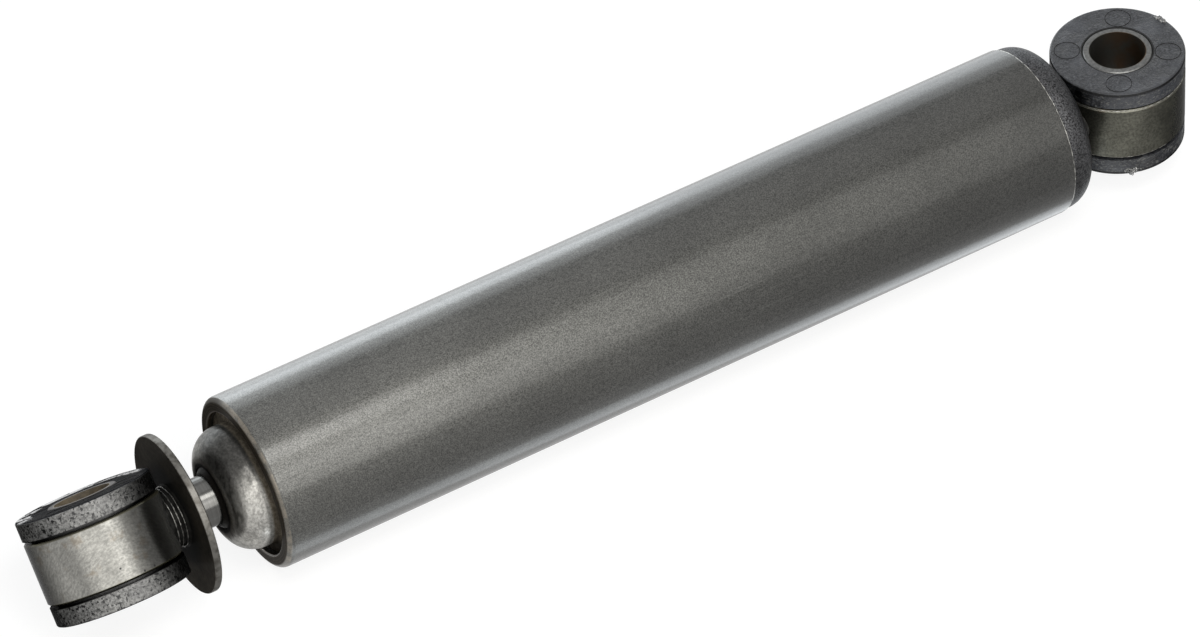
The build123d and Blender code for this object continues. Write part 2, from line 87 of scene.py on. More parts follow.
class Look:
    """A procedural finish: one Principled shader and the textures that feed it."""

    def __init__(self, name, colour, roughness, metallic=1.0, coat=0.0, coat_roughness=0.1, specular=0.5,
                 tint=1.0):
        self.material = bpy.data.materials.new(name)
        self.material.use_nodes = True
        self.tree = self.material.node_tree
        self.shader = self.tree.nodes["Principled BSDF"]
        self.shader.inputs["Metallic"].default_value = metallic
        self.shader.inputs["Coat Weight"].default_value = coat
        self.shader.inputs["Coat Roughness"].default_value = coat_roughness
        self.shader.inputs["Specular IOR Level"].default_value = specular
        self.shader.inputs["Specular Tint"].default_value = (tint, tint, tint, 1.0)
        self.shader.inputs["Base Color"].default_value = (*colour, 1.0)
        self.shader.inputs["Roughness"].default_value = roughness
        self.place = self.tree.nodes.new("ShaderNodeTexCoord").outputs["Object"]
        self.colour = (*colour, 1.0)
        self.roughness = roughness
        self.metal = metallic
        self.coat = coat
        self.normal = None

    def join(self, source, socket):
        """Feeds a socket from another socket or a plain value."""
        if isinstance(source, bpy.types.NodeSocket):
            self.tree.links.new(source, socket)
        else:
            socket.default_value = source

    def math(self, operation, first, second=0.0):
        """One sum on numbers."""
        node = self.tree.nodes.new("ShaderNodeMath")
        node.operation = operation
        self.join(first, node.inputs[0])
        self.join(second, node.inputs[1])
        return node.outputs[0]

    def vector(self, operation, first, second=(0.0, 0.0, 0.0), output="Vector"):
        """One sum on places or directions."""
        node = self.tree.nodes.new("ShaderNodeVectorMath")
        node.operation = operation
        self.join(first, node.inputs[0])
        self.join(second, node.inputs[1])
        return node.outputs[output]

    def stretched(self, stretch):
        """The place on the piece, squeezed along each axis by a factor."""
        return self.vector("MULTIPLY", self.place, stretch)

    def grain(self, scale, detail=2.0, rough=0.5, stretch=None):
        """Cloudy noise from 0 to 1, with about so many grains to the metre."""
        node = self.tree.nodes.new("ShaderNodeTexNoise")
        self.join(self.stretched(stretch) if stretch else self.place, node.inputs["Vector"])
        node.inputs["Scale"].default_value = scale
        node.inputs["Detail"].default_value = detail
        node.inputs["Roughness"].default_value = rough
        return node.outputs["Fac"]

    def cells(self, scale):
        """Distance from the nearest of many scattered points, in cell widths."""
        node = self.tree.nodes.new("ShaderNodeTexVoronoi")
        self.join(self.place, node.inputs["Vector"])
        node.inputs["Scale"].default_value = scale
        return node.outputs["Distance"]

    def along(self, direction, centre=(0.0, 0.0, 0.0)):
        """How far a place lies along a direction from a centre."""
        moved = self.vector("SUBTRACT", self.place, tuple(centre))
        return self.vector("DOT_PRODUCT", moved, tuple(direction), "Value")

    def from_axis(self, direction, centre=(0.0, 0.0, 0.0)):
        """How far a place lies from an axis."""
        moved = self.vector("SUBTRACT", self.place, tuple(centre))
        across = self.vector("CROSS_PRODUCT", moved, tuple(direction))
        return self.vector("LENGTH", across, output="Value")

    def step(self, value, low, high, start=0.0, end=1.0):
        """Goes smoothly from start to end as the value goes from low to high."""
        node = self.tree.nodes.new("ShaderNodeMapRange")
        node.interpolation_type = "SMOOTHSTEP"
        for key, number in (("From Min", low), ("From Max", high), ("To Min", start), ("To Max", end)):
            node.inputs[key].default_value = number
        self.join(value, node.inputs["Value"])
        return node.outputs["Result"]

    def both(self, first, second):
        """Where one mask and another overlap, or a mask made weaker by a share."""
        return self.math("MULTIPLY", first, second)

    def either(self, first, second):
        """Where one mask or another lies."""
        return self.math("MAXIMUM", first, second)

    def outside(self, mask):
        """Where a mask doesn't lie."""
        return self.math("SUBTRACT", 1.0, mask)

    def paint(self, mask, colour, share=1.0):
        """Lays up to a share of a colour over the present one where the mask is 1."""
        node = self.tree.nodes.new("ShaderNodeMix")
        node.data_type = "RGBA"
        self.join(mask if share == 1.0 else self.both(mask, share), node.inputs["Factor"])
        self.join(self.colour, node.inputs[mix_colours[0]])
        self.join((*colour, 1.0), node.inputs[mix_colours[1]])
        self.colour = node.outputs[mix_colour_out]

    def shade(self, value):
        """Multiplies the colour by a value."""
        node = self.tree.nodes.new("ShaderNodeVectorMath")
        node.operation = "SCALE"
        if isinstance(self.colour, tuple):
            node.inputs[0].default_value = self.colour[:3]
        else:
            self.join(self.colour, node.inputs[0])
        self.join(value, node.inputs["Scale"])
        self.colour = node.outputs[0]

    def mottle(self, value, dark, light, spread=0.2):
        """Shades by a noise, from dark to light over a spread either side of its middle."""
        self.shade(self.step(value, 0.5 - spread, 0.5 + spread, dark, light))

    def polish(self, mask, roughness):
        """Moves the roughness to another one where the mask is 1."""
        node = self.tree.nodes.new("ShaderNodeMix")
        node.data_type = "FLOAT"
        self.join(mask, node.inputs[0])
        self.join(self.roughness, node.inputs[mix_numbers[0]])
        self.join(roughness, node.inputs[mix_numbers[1]])
        self.roughness = node.outputs[0]

    def dull(self, mask, share=1.0):
        """Turns up to a share of the metal into a dull surface with no shine where the mask is 1: bare
        scale in some places, painted shade in others.
        """
        kept = self.outside(mask if share == 1.0 else self.both(mask, share))
        self.metal = self.both(kept, self.metal)
        if self.coat != 0.0:
            self.coat = self.both(kept, self.coat)

    def bump(self, height, depth):
        """Raises the surface by up to a depth where the height is 1."""
        node = self.tree.nodes.new("ShaderNodeBump")
        node.inputs["Strength"].default_value = 1.0
        node.inputs["Distance"].default_value = depth
        self.join(height, node.inputs["Height"])
        if self.normal is not None:
            self.join(self.normal, node.inputs["Normal"])
        self.normal = node.outputs["Normal"]

    def done(self):
        """Connects what was built and gives the material."""
        made = {
            "Base Color": self.colour,
            "Roughness": self.roughness,
            "Metallic": self.metal,
            "Coat Weight": self.coat,
            "Normal": self.normal,
            "Coat Normal": self.normal,
        }
        for socket, value in made.items():
            if isinstance(value, bpy.types.NodeSocket):
                self.join(value, self.shader.inputs[socket])
        return self.material


def tube_steel():
    """Satin drawn tube with a fine leathery grain, its rolled end darker and browner, with painted shade
    along it.
    """
    look = Look("tube_steel", (0.069, 0.0685, 0.0635), 0.42, coat=0.5, coat_roughness=0.14, specular=0.0,
                tint=0.75)
    along = look.along(shock_axis)
    radius = look.from_axis(shock_axis)
    grain = look.grain(2900, 2.0, 0.6)
    # Painted shade: darker towards the base end, lighter towards the rolled end
    look.shade(look.step(along, 40 * mm, tube_end, 0.58, 1.03))
    # Painted shade: darker along the lower front edge
    across = look.along(view_upper)
    look.shade(look.step(across, -21 * mm, -11 * mm, 0.78, 1.0))
    look.mottle(look.grain(38, 4.0), 0.9, 1.1)
    look.mottle(grain, 0.5, 1.55)
    look.mottle(look.grain(900, 3.0, 0.6), 0.9, 1.1)
    scratches = look.grain(1.0, 2.0, 0.5, stretch=(25, 1500, 1500))
    look.paint(look.step(scratches, 0.68, 0.76, 0.0, 0.2), (0.15, 0.15, 0.14))
    pits = look.step(look.cells(150), 0.06, 0.02)
    look.paint(look.both(pits, look.step(look.grain(60), 0.55, 0.6)), (0.02, 0.02, 0.02))
    corner = look.step(along, tube_end - 0.68 * lip_round, tube_end - 0.5 * lip_round)
    # Wear and a painted highlight: the rolled corner lighter brown in patches
    wear_and_highlight = look.both(corner, look.step(look.grain(260, 3.0), 0.38, 0.55, 0.35, 1.0))
    look.paint(look.both(wear_and_highlight, look.step(grain, 0.3, 0.6, 0.6, 1.0)), (0.175, 0.155, 0.125))
    # Painted shade: the rolled corner darker and dull on its rear side
    corner_shade = look.both(corner, look.step(look.along(rearward), 0.0, 13 * mm))
    look.paint(corner_shade, (0.055, 0.05, 0.042), 0.9)
    face = look.step(along, tube_end - 0.25 * mm, tube_end - 0.02 * mm)
    look.paint(face, (0.025, 0.021, 0.016))
    # Turning ridges 0.7 mm apart, which wander a little
    ridge_rate = 9000.0
    ridge_wander = 9.0
    wander = look.math("MULTIPLY", look.grain(120), ridge_wander)
    phase = look.math("MULTIPLY", radius, ridge_rate)
    turned = look.math("SINE", look.math("ADD", phase, wander))
    ridges = look.both(look.step(turned, -0.4, 0.9), look.both(face, look.step(grain, 0.4, 0.6)))
    look.paint(ridges, (0.08, 0.063, 0.045), 0.6)
    inside = look.step(radius, lip_radius + 0.5 * mm, lip_radius + 0.2 * mm)
    look.paint(look.both(inside, corner), (0.06, 0.048, 0.035))
    look.dull(look.both(face, look.outside(inside)), 0.85)
    look.dull(corner_shade, 0.8)
    look.polish(look.step(grain, 0.35, 0.65), 0.4)
    look.bump(grain, 0.014 * mm)
    look.bump(look.grain(420, 2.0), 0.028 * mm)
    return look.done()


def cap_steel():
    """Black forged skin, coarse and dull."""
    look = Look("cap_steel", (0.031, 0.031, 0.032), 0.48, coat=0.1, coat_roughness=0.3, tint=0.55)
    grain = look.grain(2100, 3.0, 0.75)
    # Painted shade: darker downwards
    look.shade(look.step(look.along(base_bore), -16 * mm, 10 * mm, 0.3, 1.1))
    look.mottle(grain, 0.3, 2.4, 0.15)
    look.polish(look.step(grain, 0.4, 0.6), 0.3)
    look.bump(grain, 0.13 * mm)
    look.bump(look.cells(1300), 0.05 * mm)
    return look.done()


def weld_steel(name, colour, dullness):
    """Weld metal with ripples and scale."""
    shine = 1.0 - dullness
    look = Look(name, colour, 0.42, metallic=shine, coat=0.1 * shine, specular=0.0)
    ripples = look.grain(500, 3.0, 0.6, stretch=(2.5, 1, 1))
    look.mottle(ripples, 0.5, 1.5)
    look.polish(look.step(ripples, 0.4, 0.6), 0.28)
    look.bump(ripples, 0.08 * mm)
    return look.done()


def base_eye_steel():
    """Dark olive-grey drawn ring."""
    look = Look("base_eye_steel", (0.068, 0.067, 0.055), 0.4, coat=0.12, coat_roughness=0.2, tint=0.3)
    height = look.along(base_bore)
    grain = look.grain(1500, 2.0, 0.6)
    look.mottle(look.grain(120, 3.0), 0.8, 1.25)
    look.mottle(grain, 0.75, 1.3)
    # Painted shade: darker towards one side, along view_right
    look.shade(look.step(look.along(view_right), 1 * mm, 14 * mm, 1.2, 0.5))
    rod_side = look.step(look.along(shock_axis), -2 * mm, 8 * mm)
    rust = look.both(look.step(look.grain(150, 3.0), 0.5, 0.7), rod_side)
    look.paint(look.both(rust, look.step(height, 6.8 * mm, 8.4 * mm, 0.0, 0.6)), (0.1, 0.045, 0.02))
    edge = look.math("ABSOLUTE", height)
    look.paint(look.step(edge, ring_half - 0.55 * mm, ring_half - 0.45 * mm, 0.0, 0.5), (0.1, 0.097, 0.08))
    look.bump(grain, 0.015 * mm)
    look.bump(look.grain(260, 2.0), 0.03 * mm)
    return look.done()


def rod_eye_steel():
    """Lighter satin ring with faint brown streaks and pits, a duller darker grey next to the weld, with
    painted shade towards the disc and at its far end.
    """
    look = Look("rod_eye_steel", (0.168, 0.165, 0.152), 0.36, coat=0.3, coat_roughness=0.2, tint=0.18)
    height = look.math("ABSOLUTE", look.along(rod_bore, rod_centre))
    along = look.along(shock_axis)
    grain = look.grain(1500, 2.0, 0.6)
    look.mottle(look.grain(90, 4.0, stretch=(2.0, 1.0, 1.0)), 0.88, 1.1)
    look.mottle(grain, 0.85, 1.15)
    strokes = look.grain(1.0, 2.0, 0.6, stretch=(520, 2300, 700))
    look.mottle(strokes, 0.86, 1.16, 0.15)
    streaks = look.grain(210, 3.0, 0.6)
    look.paint(look.step(streaks, 0.56, 0.7, 0.0, 0.45), (0.12, 0.095, 0.065))
    # Painted shade: darker towards the disc; lighter beyond, then darker again at the far end
    look.shade(look.step(along, eye_spacing - 7 * mm, eye_spacing + 9 * mm, 0.27, 1.0))
    look.shade(look.step(along, eye_spacing + 15 * mm, eye_spacing + 19.5 * mm, 1.25, 0.36))
    # Duller and darker grey next to the weld
    next_to_weld = look.step(along, disc_far + 12 * mm, disc_far + 1 * mm)
    look.paint(next_to_weld, (0.075, 0.075, 0.07), 0.9)
    look.dull(next_to_weld, 0.85)
    pits = look.step(look.cells(230), 0.1, 0.05)
    look.paint(look.both(pits, look.step(look.grain(90), 0.54, 0.58)), (0.015, 0.015, 0.015))
    edge = look.step(height, ring_half - 0.75 * mm, ring_half - 0.4 * mm, 0.0, 0.85)
    look.paint(edge, (0.07, 0.065, 0.042))
    look.polish(look.step(grain, 0.35, 0.65), 0.28)
    look.bump(grain, 0.01 * mm)
    look.bump(look.grain(260, 2.0), 0.02 * mm)
    return look.done()


def base_rubber():
    """Black bushing rubber with a soft shine, pale dust, and painted shade: a black gap round the sleeve,
    a dark band under each face's edge and dark flanks.
    """
    look = Look("base_rubber", (0.018, 0.019, 0.022), 0.34, metallic=0.0, specular=0.6, tint=0.6)
    cloud = look.grain(230, 5.0, 0.7)
    fine = look.grain(1500, 3.0, 0.7)
    look.mottle(fine, 0.6, 1.5, 0.15)
    look.paint(look.step(cloud, 0.5, 0.35), (0.006, 0.006, 0.007), 0.8)
    dust = look.both(look.step(cloud, 0.48, 0.68), look.step(fine, 0.4, 0.7))
    look.paint(dust, (0.13, 0.135, 0.145), 0.55)
    haze = look.step(look.grain(75, 2.0), 0.46, 0.62)
    look.paint(haze, (0.06, 0.064, 0.074), 0.45)
    side = look.step(look.from_axis(base_bore), rim_radius - 0.2 * mm, rim_radius - 0.05 * mm)
    scuffs = look.step(look.grain(1.0, 3.0, 0.7, stretch=(900, 900, 1800)), 0.52, 0.66)
    look.paint(look.both(side, scuffs), (0.16, 0.16, 0.15), 0.6)
    across = look.math("ABSOLUTE", look.along(view_right))
    flank = look.both(side, look.step(across, 4 * mm, 13 * mm))
    # Painted shade: the flanks to either side are made dark metal, which mirrors less than rubber where it
    # is seen at a flat angle
    look.metal = look.both(flank, 0.95)
    top = look.math("ABSOLUTE", look.along(base_bore))
    # Painted shade: a dark band on the side just under each face's edge
    edge = look.both(side, look.step(top, rubber_face - 1.4 * mm, rubber_face - 0.8 * mm))
    look.paint(edge, (0.004, 0.004, 0.004), 0.8)
    # Painted shade: a black gap round the sleeve, a little off centre
    gap_centre = (-0.12 * mm, -0.1 * mm, 0.0)
    from_gap = look.from_axis(base_bore, gap_centre)
    gap = look.step(from_gap, sleeve_radius + 0.55 * mm, sleeve_radius + 0.35 * mm)
    look.paint(gap, (0.002, 0.002, 0.002))
    look.polish(look.step(cloud, 0.4, 0.6), 0.66)
    look.polish(look.either(gap, edge), 0.9)
    look.bump(fine, 0.17 * mm)
    look.bump(cloud, 0.4 * mm)
    return look.done()


def rod_rubber():
    """Worn grey bushing rubber full of black specks, dark on its face but for a rim, with painted shade at
    the ends of its flanks and where it meets the ring.
    """
    look = Look("rod_rubber", (0.215, 0.214, 0.208), 0.4, metallic=0.0, coat_roughness=0.28, tint=0.12)
    height = look.math("ABSOLUTE", look.along(rod_bore, rod_centre))
    away = look.along(rod_bore.cross(-shock_axis), rod_centre)
    along = look.along(shock_axis)
    radius = look.from_axis(rod_bore, rod_centre)
    cloud = look.grain(170, 3.0, 0.6)
    fine = look.grain(1300, 3.0, 0.7)
    look.mottle(cloud, 0.75, 1.2)
    # Painted shade: darker towards the disc and towards the far end
    look.shade(look.step(along, eye_spacing - 13 * mm, eye_spacing + 7 * mm, 0.2, 1.0))
    look.shade(look.step(along, eye_spacing + 8 * mm, eye_spacing + 18 * mm, 1.0, 0.36))
    look.mottle(fine, 0.5, 1.45, 0.15)
    specks = look.step(look.grain(1150, 2.0, 0.6), 0.44, 0.4)
    look.paint(specks, (0.008, 0.008, 0.008))
    # Painted shade: black where the rubber meets the ring
    look.paint(look.step(height, 9.75 * mm, 9.6 * mm), (0.006, 0.006, 0.006))
    face = look.step(height, rubber_face - 0.3 * mm, rubber_face - 0.15 * mm)
    wiped = look.both(look.step(radius, 14.1 * mm, 14.8 * mm), look.step(away, -4 * mm, 1 * mm))
    wiped = look.both(wiped, look.step(look.grain(260, 3.0, 0.6), 0.42, 0.48))
    look.paint(face, (0.02, 0.021, 0.024))
    dark_face = look.both(face, look.outside(wiped))
    # Painted shade: the flanks are darkened towards both ends
    far_side = look.step(along, eye_spacing + 9 * mm, eye_spacing + 16 * mm)
    near_side = look.step(along, eye_spacing - 1 * mm, eye_spacing - 11 * mm)
    flank = look.both(look.either(far_side, near_side), look.outside(face))
    dark = look.either(dark_face, flank)
    # Dark metal mirrors less than rubber where it is seen at a flat angle
    look.metal = look.both(dark, 0.95)
    shine = look.both(look.outside(dark), 0.7)
    look.coat = look.both(shine, look.step(along, eye_spacing - 14 * mm, eye_spacing - 2 * mm))
    look.polish(look.step(cloud, 0.4, 0.6), 0.46)
    look.polish(look.both(face, wiped), 0.12)
    look.bump(fine, 0.09 * mm)
    return look.done()


def sleeve_steel():
    """Bare sleeves: grey rims, dark bores, the rod eye's rim near black and its bore golden brown."""
    look = Look("sleeve_steel", (0.115, 0.115, 0.112), 0.34, tint=0.6)
    grain = look.grain(1200, 2.0)
    look.mottle(grain, 0.8, 1.2)
    patches = look.grain(140, 3.0)
    wall_from = bore_radius + 0.25 * mm
    wall_to = bore_radius + 0.05 * mm
    base_wall = look.step(look.from_axis(base_bore), wall_from, wall_to)
    look.paint(base_wall, (0.075, 0.074, 0.066))
    along = look.along(shock_axis)
    rust = look.both(look.step(along, 2 * mm, -6 * mm), look.step(patches, 0.35, 0.6))
    look.paint(look.both(base_wall, rust), (0.085, 0.057, 0.037))
    at_rod = look.step(along, 0.5 * eye_spacing, 0.51 * eye_spacing)
    look.paint(at_rod, (0.03, 0.027, 0.024))
    rod_wall = look.step(look.from_axis(rod_bore, rod_centre), wall_from, wall_to)
    look.paint(look.both(rod_wall, look.step(patches, 0.35, 0.6, 0.3, 1.0)), (0.2, 0.165, 0.115))
    look.dull(rod_wall, 0.6)
    look.polish(look.either(base_wall, rod_wall), 0.5)
    look.bump(grain, 0.015 * mm)
    return look.done()


def rod_chrome():
    """Ground and chromed rod with a trace of the grinding lines."""
    look = Look("rod_chrome", (0.092, 0.091, 0.087), 0.16, tint=0.6)
    lines = look.grain(1.0, 2.0, 0.5, stretch=(4200, 60, 60))
    look.mottle(lines, 0.9, 1.08)
    look.polish(look.step(look.grain(300), 0.45, 0.65), 0.2)
    look.bump(lines, 0.002 * mm)
    return look.done()


def disc_steel():
    """Brown-grey stamped disc, nearly black round the weld, its rim scuffed bright."""
    look = Look("disc_steel", (0.026, 0.023, 0.019), 0.42, coat=0.1, coat_roughness=0.25, specular=0.0,
                tint=0.4)
    radius = look.from_axis(shock_axis)
    grain = look.grain(900, 3.0, 0.6)
    look.mottle(look.grain(110, 4.0), 0.75, 1.3)
    look.mottle(grain, 0.75, 1.25)
    weld_side = look.step(look.along(shock_axis), disc_near, disc_far)
    # Nearly black next to the weld
    next_to_weld = look.both(look.step(radius, 17 * mm, 11 * mm), weld_side)
    look.paint(look.both(next_to_weld, look.step(look.grain(140, 2.0), 0.2, 0.6, 0.6, 1.0)), (0.012, 0.012, 0.012))
    rim = look.step(radius, disc_radius - 0.3 * mm, disc_radius - 0.1 * mm)
    look.paint(look.both(rim, look.step(look.grain(500, 3.0), 0.3, 0.6, 0.3, 0.9)), (0.13, 0.125, 0.115))
    look.dull(look.math("SUBTRACT", 0.75, look.both(rim, 0.65)))
    look.bump(grain, 0.02 * mm)
    return look.done()


def dome_steel():
    """Satin pressed dome, darker towards the rod, brown in the recess behind it, with painted shade round
    its hole, towards its top and low in the recess.
    """
    look = Look("dome_steel", (0.33, 0.322, 0.3), 0.5, coat=0.15, coat_roughness=0.2, specular=0.0,
                tint=0.5)
    along = look.along(shock_axis)
    height = look.along(base_bore)
    grain = look.grain(1400, 2.0, 0.6)
    front = look.step(along, tube_end + 8.8 * mm, dome_tip)
    look.paint(front, (0.075, 0.067, 0.057))
    # Painted shade: nearly black round the rod's hole
    hole = look.step(look.from_axis(shock_axis), 10.6 * mm, 9.8 * mm)
    look.paint(hole, (0.012, 0.011, 0.01))
    look.dull(look.either(look.both(front, 0.75), look.both(hole, 0.9)))
    # Painted shade: darker towards the top
    look.shade(look.step(height, 6 * mm, 16 * mm, 1.0, 0.12))
    recess = look.step(along, tube_end + 0.9 * mm, tube_end - 0.1 * mm)
    look.paint(recess, (0.115, 0.1, 0.078))
    # Painted shade: nearly black low in the recess
    low = look.step(height, -5 * mm, -13 * mm)
    look.paint(look.both(recess, low), (0.02, 0.017, 0.013))
    look.dull(recess, 0.9)
    look.mottle(look.grain(110, 3.0), 0.85, 1.15)
    wiped = look.grain(420, 3.0, 0.65, stretch=(1.6, 1.0, 0.7))
    look.mottle(wiped, 0.8, 1.22, 0.15)
    look.mottle(grain, 0.75, 1.25)
    look.polish(look.step(wiped, 0.4, 0.6), 0.34)
    look.bump(grain, 0.012 * mm)
    look.bump(look.grain(300, 2.0), 0.035 * mm)
    return look.done()


def plain_grained(name, colour, roughness, metallic=1.0, specular=0.5):
    """A simple grained finish, for the pieces that are sealed inside."""
    look = Look(name, colour, roughness, metallic=metallic, specular=specular)
    grain = look.grain(900, 3.0, 0.6)
    look.mottle(grain, 0.8, 1.2)
    look.polish(look.step(grain, 0.35, 0.65), roughness * 0.8)
    look.bump(grain, 0.01 * mm)
    return look.done()


def bright_steel():
    """Burrs and weld ripples, scraped bright."""
    look = Look("bright_steel", (0.24, 0.235, 0.22), 0.36)
    rough = look.grain(700, 3.0, 0.6)
    look.mottle(rough, 0.35, 1.6, 0.15)
    look.polish(look.step(rough, 0.4, 0.6), 0.45)
    look.bump(rough, 0.03 * mm)
    return look.done()


def torn_rubber():
    """Flash torn at the moulding gates, paler than the skin, with painted glints."""
    look = Look("torn_rubber", (0.045, 0.045, 0.045), 0.25, metallic=0.0, specular=0.9)
    rough = look.grain(1500, 3.0, 0.7)
    look.mottle(rough, 0.3, 2.2, 0.15)
    # Pale specks: paler torn rubber with painted glints
    look.paint(look.step(rough, 0.54, 0.6), (0.4, 0.4, 0.39))
    look.bump(rough, 0.08 * mm)
    return look.done()


looks = {
    "tube_steel": tube_steel(),
    "cap_steel": cap_steel(),
    "base_weld_steel": weld_steel("base_weld_steel", (0.03, 0.03, 0.028), 0.6),
    "rod_weld_steel": weld_steel("rod_weld_steel", (0.015, 0.015, 0.014), 0.9),
    "base_eye_steel": base_eye_steel(),
    "rod_eye_steel": rod_eye_steel(),
    "base_rubber": base_rubber(),
    "rod_rubber": rod_rubber(),
    "sleeve_steel": sleeve_steel(),
    "rod_chrome": rod_chrome(),
    "disc_steel": disc_steel(),
    "dome_steel": dome_steel(),
    "seal_rubber": plain_grained("seal_rubber", (0.008, 0.007, 0.006), 0.6, 0.0, specular=0.05),
    "band_plastic": plain_grained("band_plastic", (0.2, 0.13, 0.08), 0.5, 0.0),
    "bearing_bronze": plain_grained("bearing_bronze", (0.5, 0.36, 0.2), 0.35),
    "sintered_iron": plain_grained("sintered_iron", (0.2, 0.2, 0.2), 0.55),
    "inner_steel": plain_grained("inner_steel", (0.5, 0.5, 0.5), 0.3),
}


def dress_nodes():
    """Gives every CAD node the finish of its material slot."""
    for row in frame["record"]["subparts"]:
        data = frame["nodes"][row["node"]].data
        data.materials.clear()
        data.materials.append(looks[row["material_slot"]])


# Small pieces that ride on the bodies

def add_piece(name, shape, body, look):
    """Makes an object of a finished bmesh that rides on a body."""
    mesh = bpy.data.meshes.new(name)
    shape.to_mesh(mesh)
    shape.free()
    mesh.polygons.foreach_set("use_smooth", [True] * len(mesh.polygons))
    piece = bpy.data.objects.new(name, mesh)
    bpy.context.scene.collection.objects.link(piece)
    mesh.materials.append(look)
    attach(piece, body)


def frame_about(direction):
    """Two directions square to a direction and to each other."""
    first = base_bore if abs(direction.z) < 0.9 else shock_axis
    across = (first - direction * first.dot(direction)).normalized()
    return across, direction.cross(across)


def add_bead(shape, centre, across, upright, radii, section, wobble, seed, steps=360):
    """Adds a rough bead that runs round an ellipse."""
    axis = across.cross(upright)
    sides = 8
    rough_scale = 900.0
    drift_scale = 250.0
    rings = []
    for index in range(steps):
        angle = math.radians(360.0 * (index / steps))
        around = across * math.cos(angle) * radii[0] + upright * math.sin(angle) * radii[1]
        out = (across * math.cos(angle) / radii[0] + upright * math.sin(angle) / radii[1]).normalized()
        rough = noise.noise(around * rough_scale + Vector((seed, 0.0, 0.0)))
        drift = noise.noise(around * drift_scale + Vector((0.0, seed, 0.0)))
        size = section * (1.0 + wobble * rough)
        middle = centre + around + (out * rough + axis * drift) * section * wobble
        ring = []
        for side in range(sides):
            turn = 2.0 * math.pi * side / sides
            ring.append(shape.verts.new(middle + (out * math.cos(turn) + axis * math.sin(turn)) * size))
        rings.append(ring)
    for low, high in zip(rings, rings[1:] + rings[:1]):
        for side in range(sides):
            other = (side + 1) % sides
            shape.faces.new((low[side], low[other], high[other], high[side]))


def add_flake(shape, centre, size, seed):
    """Adds a torn crumb: a small ball pushed out of shape."""
    made = bmesh.ops.create_icosphere(shape, subdivisions=3, radius=1.0)
    draw = random.Random(seed)
    stretch = Vector([draw.uniform(0.6, 1.3) for _ in range(3)])
    rough_scale, rough_share = 1.7, 0.7
    fine_scale, fine_share = 5.0, 0.35
    for vertex in made["verts"]:
        rough = noise.noise(vertex.co * rough_scale + Vector((seed * 3.1, 0.0, 0.0)))
        fine = noise.noise(vertex.co * fine_scale + Vector((0.0, seed * 1.7, 0.0)))
        ball = vertex.co * (1.0 + rough_share * rough + fine_share * fine)
        vertex.co = centre + Vector((ball.x * stretch.x, ball.y * stretch.y, ball.z * stretch.z)) * size


def make_beads():
    """The burr of the crimped seam, the weld ripples and the burrs on the base ring."""
    bright = bright_steel()
    across, upright = frame_about(shock_axis)
    seam = bmesh.new()
    seam_centre = Vector((tube_start - 0.02 * mm, 0.0, 0.0))
    seam_radii = (seam_radius, seam_radius)
    add_bead(seam, seam_centre, across, upright, seam_radii, section=0.15 * mm, wobble=0.4, seed=3.0,
             steps=900)
    add_piece("seam_burr", seam, "tube_body", bright)

    rod_across = rod_bore.cross(-shock_axis)
    ripples = bmesh.new()
    for number, (reach, grow) in enumerate(((0.9, 0.35), (2.1, 0.2), (3.3, 0.1))):
        radii = (weld_half_width + grow * mm, weld_half_height + grow * mm)
        centre = Vector((disc_far + reach * mm, 0.0, 0.0))
        add_bead(ripples, centre, rod_across, rod_bore, radii, section=0.14 * mm, wobble=0.8,
                 seed=11.0 + number)
    add_piece("rod_weld_ripples", ripples, "rod", bright)

    side_way = base_bore.cross(shock_axis)
    base_weld_look = looks["base_weld_steel"]
    base_ripples = bmesh.new()
    for number, (reach, grow) in enumerate(((0.9, 0.3), (1.9, 0.1))):
        radii = (weld_half_width + grow * mm, weld_half_height + grow * mm)
        centre = Vector((base_weld_end - reach * mm, 0.0, 0.0))
        add_bead(base_ripples, centre, side_way, base_bore, radii, section=0.25 * mm, wobble=0.5,
                 seed=21.0 + number)
    add_piece("base_weld_ripples", base_ripples, "tube_body", base_weld_look)

    base_across, base_upright = frame_about(base_bore)
    burr = bmesh.new()
    ring_edge = eye_radius - 0.32 * mm
    burr_height = ring_half - 0.18 * mm
    burr_radii = (ring_edge, ring_edge)
    for side, section, seed in ((1, 0.11 * mm, 31.0), (-1, 0.06 * mm, 37.0)):
        centre = base_bore * side * burr_height
        add_bead(burr, centre, base_across, base_upright, burr_radii, section, wobble=1.0, seed=seed,
                 steps=700)
    add_piece("base_ring_burr", burr, "tube_body", bright)


def make_mould_marks():
    """The ejector-pin outlines on the rubber faces."""
    eyes = (
        ("base", base_centre, base_bore, shock_axis, "tube_body", (-35, -125, 57, 144)),
        ("rod", rod_centre, rod_bore, -shock_axis, "rod", (-45, -135, 45, 135)),
    )
    mark_radii = (mark_radius, mark_radius)
    for eye, centre, bore, toward, body, angles in eyes:
        side_way = bore.cross(toward)
        for side, place in ((1, "upper"), (-1, "lower")):
            marks = bmesh.new()
            for angle in angles:
                turn = math.radians(angle)
                out = toward * math.cos(turn) + side_way * math.sin(turn)
                middle = centre + bore * side * rubber_face + out * mark_reach
                add_bead(marks, middle, toward, side_way, mark_radii, section=0.09 * mm, wobble=0.3,
                         seed=angle, steps=96)
            name = eye + "_mould_marks_" + place
            add_piece(name, marks, body, looks["seal_rubber"])


